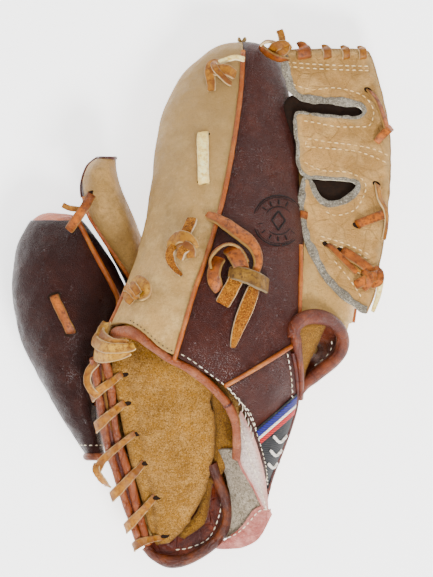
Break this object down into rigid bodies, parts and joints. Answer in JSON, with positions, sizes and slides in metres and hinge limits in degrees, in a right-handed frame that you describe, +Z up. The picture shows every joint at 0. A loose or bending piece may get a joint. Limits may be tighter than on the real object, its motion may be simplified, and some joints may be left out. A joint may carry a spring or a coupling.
{
  "type": "baseball glove",
  "caption": "Two-tone leather fielder's glove for the left hand, closed and lying on its palm, with laced web, wrist strap, finger hole and rawhide knots.",
  "frame": {"origin": "centre of the glove's box on the surface it lies on", "axes": "+X from the little finger to the thumb, +Y from the heel to the fingertips, +Z up from the palm to the back"},
  "size_m": [0.2106, 0.3036, 0.1092],
  "materials": {
    "tan_leather": "satin",
    "brown_leather": "satin",
    "web_leather": "matte",
    "binding_leather": "satin",
    "piping_leather": "satin",
    "suede": "matte",
    "felt": "matte",
    "lace": "satin",
    "woven_label": "matte"
  },
  "bodies": {
    "hand": {"back_liner": "suede", "back_panel_brown": "brown_leather", "back_panel_tan": "tan_leather", "corner_wrap_lace": "lace", "hand_opening_binding": "binding_leather", "heel_bottom_binding": "binding_leather", "heel_lacing": "lace", "heel_pad": "felt", "heel_roll_inner": "binding_leather", "heel_roll_outer": "binding_leather", "index_piping_left": "piping_leather", "index_piping_right": "piping_leather", "index_slot_lace": "lace", "index_stall_front": "tan_leather", "knot_centre": "lace", "knot_left_edge": "lace", "knot_middle": "lace", "knot_tip": "lace", "knot_upper": "lace", "palm_liner": "suede", "palm_pad": "felt", "palm_panel": "tan_leather", "strap_end_binding": "binding_leather", "strap_felt_lining": "felt", "strap_label": "woven_label", "strap_piping": "piping_leather", "wrist_facing": "binding_leather", "wrist_strap": "brown_leather"},
    "thumb_side": {"thumb_back": "tan_leather", "thumb_front": "tan_leather", "thumb_piping": "piping_leather", "web": "web_leather", "web_top_lacing": "lace", "web_side_lace": "lace", "web_lower_lace": "lace", "finger_hole_binding": "binding_leather", "finger_hole_facing": "binding_leather"},
    "pinky_side": {"pinky_back": "brown_leather", "pinky_front": "brown_leather", "pinky_tip_cap": "binding_leather", "pinky_piping": "piping_leather", "pinky_root_binding": "binding_leather", "pinky_lace": "lace", "ring_stall": "tan_leather", "ring_piping": "piping_leather", "ring_lace": "lace"}
  },
  "joints": [
    {"name": "thumb_open", "type": "hinge", "parent": "hand", "child": "thumb_side", "pos_m": [0.0573, -0.0005, 0.07], "axis": [0.0702, -0.9612, 0.2667], "range_deg": [-6, 35]},
    {"name": "pinky_open", "type": "hinge", "parent": "hand", "child": "pinky_side", "pos_m": [-0.0567, -0.0005, 0.046], "axis": [0, 1, 0], "range_deg": [-10, 20]}
  ]
}
